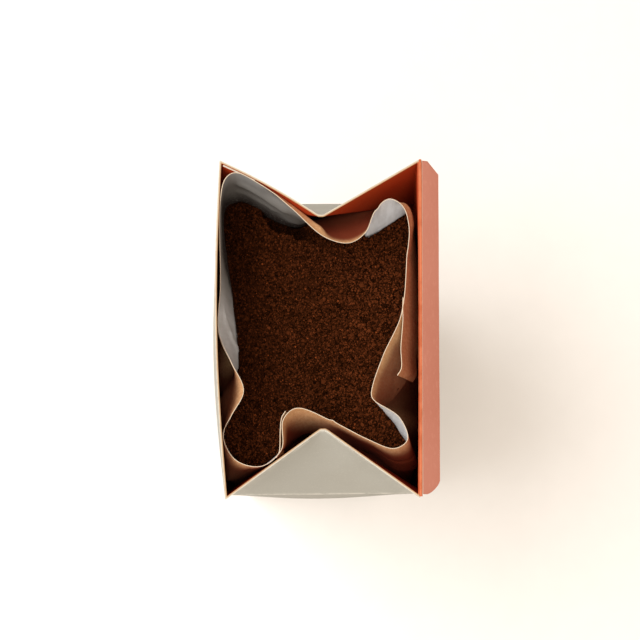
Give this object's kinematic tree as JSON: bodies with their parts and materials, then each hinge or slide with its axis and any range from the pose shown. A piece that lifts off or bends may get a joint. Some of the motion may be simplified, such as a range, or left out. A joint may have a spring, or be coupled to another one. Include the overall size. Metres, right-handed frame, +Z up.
{
  "type": "open box of ground coffee",
  "caption": "Open gable-top board carton with its ends tucked in and its seal flap folded out, lined with a kraft bag that holds ground coffee.",
  "frame": {"origin": "centre of the carton's base, on the floor", "axes": "+Z up, +Y from the near gable end to the far one, +X towards the side that carries the seal flap"},
  "size_m": [0.073, 0.0996, 0.2102],
  "materials": {
    "board": "matt coated board, grey-green outside and terracotta inside, pale raw edges",
    "board_inside": "matt terracotta print on the inside of the board",
    "bag_kraft": "kraft paper outside and a soft silver-grey barrier film inside",
    "coffee": "dry dark brown coffee grounds"
  },
  "bodies": {
    "box": {"carton": "board", "bag": "bag_kraft", "grounds": "coffee"},
    "flap": {"seal_flap": "board_inside"}
  },
  "joints": [
    {"name": "seal_flap_crease", "type": "hinge", "parent": "box", "child": "flap", "pos_m": [0.02795, 0, 0.20974], "axis": [-0.0212, -0.9998, 0], "range_deg": [-50, 105]}
  ]
}
